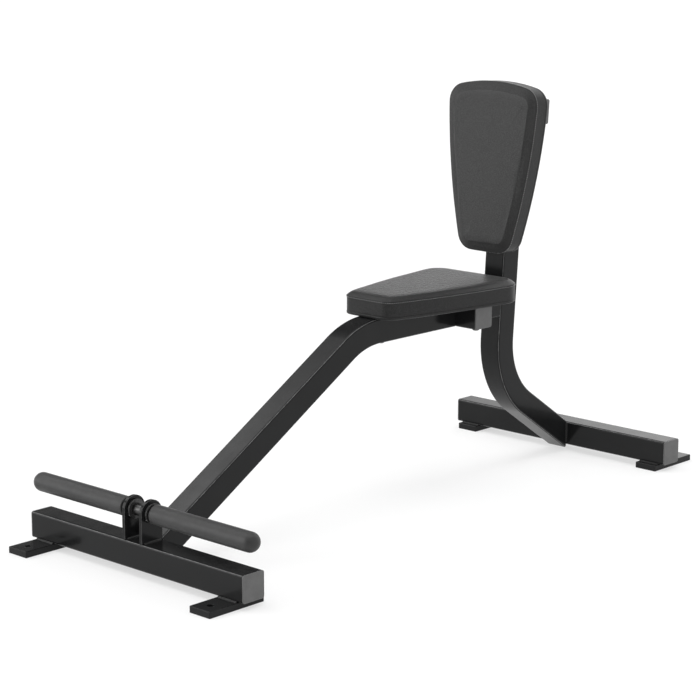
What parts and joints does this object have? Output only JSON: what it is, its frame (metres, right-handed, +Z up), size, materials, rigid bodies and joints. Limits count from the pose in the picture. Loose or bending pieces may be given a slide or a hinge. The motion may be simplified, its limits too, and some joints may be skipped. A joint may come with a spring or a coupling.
{
  "type": "utility bench",
  "caption": "Upright utility bench: bent square tube frame on wide bases with foot plates, a tapered padded seat and back rest, and a turning foot bar with rubber grips at the front.",
  "frame": {"origin": "middle of the footprint, on the floor", "axes": "+Z up, +Y from the foot bar towards the back rest, +X towards the left hand of a person who sits on the bench"},
  "size_m": [0.7, 1.674, 0.9678],
  "materials": {
    "frame_paint": "smooth black powder coat, semi-gloss",
    "cap_plastic": "moulded black plastic, satin",
    "pad_cover": "black upholstery vinyl with a fine grain",
    "pad_board": "plywood board, sealed black",
    "fastener": "black oxide steel",
    "bush_bronze": "oiled sintered bronze",
    "bar_steel": "plated steel bar",
    "collar_steel": "black oxide steel",
    "grip_rubber": "matte dark grey rubber"
  },
  "bodies": {
    "frame": {"front_base_tube": "frame_paint", "front_base_cap_left": "cap_plastic", "front_base_cap_right": "cap_plastic", "front_foot_plate_left": "frame_paint", "front_foot_plate_right": "frame_paint", "rear_base_tube": "frame_paint", "rear_base_cap_left": "cap_plastic", "rear_base_cap_right": "cap_plastic", "rear_foot_plate_left": "frame_paint", "rear_foot_plate_right": "frame_paint", "main_tube": "frame_paint", "upright_post": "frame_paint", "post_top_cap": "cap_plastic", "seat_bracket_left": "frame_paint", "seat_bracket_left_cap": "cap_plastic", "seat_bracket_right": "frame_paint", "seat_bracket_right_cap": "cap_plastic", "back_bracket_left": "frame_paint", "back_bracket_left_cap": "cap_plastic", "back_bracket_right": "frame_paint", "back_bracket_right_cap": "cap_plastic", "seat_board": "pad_board", "seat_cushion": "pad_cover", "seat_bolt_front": "fastener", "seat_bolt_left": "fastener", "seat_bolt_right": "fastener", "back_board": "pad_board", "back_cushion": "pad_cover", "back_bolt_lower": "fastener", "back_bolt_left": "fastener", "back_bolt_right": "fastener", "foot_bar_lug_left": "frame_paint", "foot_bar_lug_right": "frame_paint", "bush_left": "bush_bronze", "bush_right": "bush_bronze"},
    "foot_bar": {"foot_bar": "bar_steel", "inner_collar_left": "collar_steel", "inner_collar_right": "collar_steel", "outer_collar_left": "collar_steel", "outer_collar_right": "collar_steel", "foot_grip_left": "grip_rubber", "foot_grip_right": "grip_rubber"}
  },
  "joints": [
    {"name": "foot_bar_turn", "type": "hinge", "parent": "frame", "child": "foot_bar", "pos_m": [0, -0.729, 0.1386], "axis": [1, 0, 0], "continuous": true}
  ]
}
